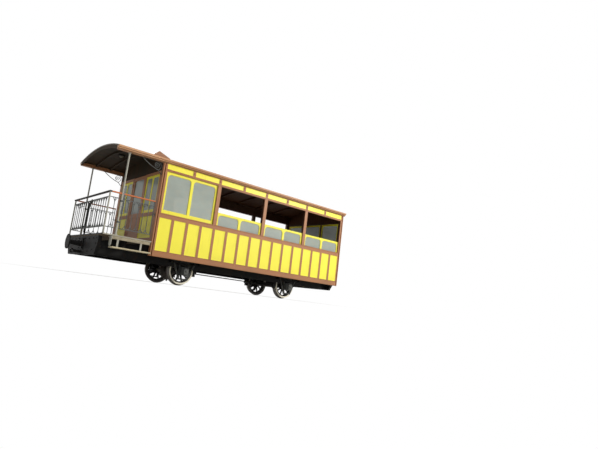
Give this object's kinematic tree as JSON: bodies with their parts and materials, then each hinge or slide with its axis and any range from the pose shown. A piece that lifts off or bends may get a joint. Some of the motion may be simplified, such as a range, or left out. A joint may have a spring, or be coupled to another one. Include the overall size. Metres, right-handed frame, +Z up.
{
  "type": "rack railway passenger coach",
  "caption": "Two-axle open-sided rack railway coach with an open end platform, drop sash windows, benches, iron railings and an arched roof.",
  "frame": {"origin": "middle of the coach between the buffer faces, on the centre line, at the height of the wheel flanges' bottoms", "axes": "+X along the coach from the open platform to the closed end, +Y to the far side, +Z up"},
  "size_m": [8.86, 3.11, 3.767],
  "materials": {
    "brown_paint": "painted, satin",
    "yellow_paint": "painted, satin",
    "interior_wood": "varnished",
    "floor_boards": "worn, matte",
    "step_wood": "weathered, matte",
    "varnished_wood": "varnished",
    "roof_cover": "painted canvas, matte",
    "window_glass": "clear",
    "lamp_glass": "frosted",
    "black_iron": "painted, satin",
    "grey_iron": "painted, satin",
    "bare_steel": "dull",
    "tyre_steel": "dull"
  },
  "bodies": {
    "car": {"axle_boxes": "grey_iron", "axle_guards": "black_iron", "battens": "brown_paint", "bench_backs": "interior_wood", "bench_legs": "interior_wood", "bench_seats": "interior_wood", "brake_blocks": "black_iron", "brake_column": "black_iron", "brake_rigging": "black_iron", "cabin_floor": "floor_boards", "cantrails": "brown_paint", "ceiling": "interior_wood", "corner_beads": "brown_paint", "cornices": "brown_paint", "cross_bearers": "black_iron", "door_hinges": "black_iron", "draw_gear": "black_iron", "end_panels": "yellow_paint", "end_panes": "window_glass", "end_sashes": "yellow_paint", "end_walls": "brown_paint", "floor_edging": "grey_iron", "gables": "interior_wood", "handrails": "varnished_wood", "headstocks": "black_iron", "leaf_springs": "black_iron", "lower_steps": "step_wood", "platform_floor": "floor_boards", "platform_lamp": "lamp_glass", "platform_posts": "grey_iron", "posts": "brown_paint", "railing": "grey_iron", "roof": "roof_cover", "roof_arches": "interior_wood", "roof_ventilator": "brown_paint", "sash_panes": "window_glass", "sashes": "yellow_paint", "scroll_brackets": "grey_iron", "side_panels": "yellow_paint", "side_rails": "brown_paint", "sole_bars": "black_iron", "spring_shoes": "black_iron", "step_hangers": "grey_iron", "upper_steps": "step_wood", "wall_lining": "interior_wood"},
    "wheelset_front": {"axle_front": "bare_steel", "wheel_centres_front": "black_iron", "tyres_front": "tyre_steel", "brake_pinion": "bare_steel"},
    "wheelset_rear": {"axle_rear": "bare_steel", "wheel_centres_rear": "black_iron", "tyres_rear": "tyre_steel"},
    "gate_near": {"gate_near": "grey_iron", "gate_handrail_near": "varnished_wood"},
    "gate_far": {"gate_far": "grey_iron", "gate_handrail_far": "varnished_wood"},
    "end_door": {"end_door": "brown_paint", "end_door_pane": "window_glass"}
  },
  "joints": [
    {"name": "wheelset_front_spin", "type": "hinge", "parent": "car", "child": "wheelset_front", "pos_m": [-1.53, 0, 0.4], "axis": [0, 1, 0], "continuous": true},
    {"name": "wheelset_rear_spin", "type": "hinge", "parent": "car", "child": "wheelset_rear", "pos_m": [2.28, 0, 0.4], "axis": [0, 1, 0], "continuous": true},
    {"name": "gate_near_swing", "type": "hinge", "parent": "car", "child": "gate_near", "pos_m": [-3.735, -1.405, 1.5], "axis": [0, 0, 1], "range_deg": [0, 90]},
    {"name": "gate_far_swing", "type": "hinge", "parent": "car", "child": "gate_far", "pos_m": [-3.735, 1.405, 1.5], "axis": [0, 0, 1], "range_deg": [-90, 0]},
    {"name": "end_door_swing", "type": "hinge", "parent": "car", "child": "end_door", "pos_m": [-2.836, 0.407, 1.9], "axis": [0, 0, 1], "range_deg": [-90, 0]}
  ]
}
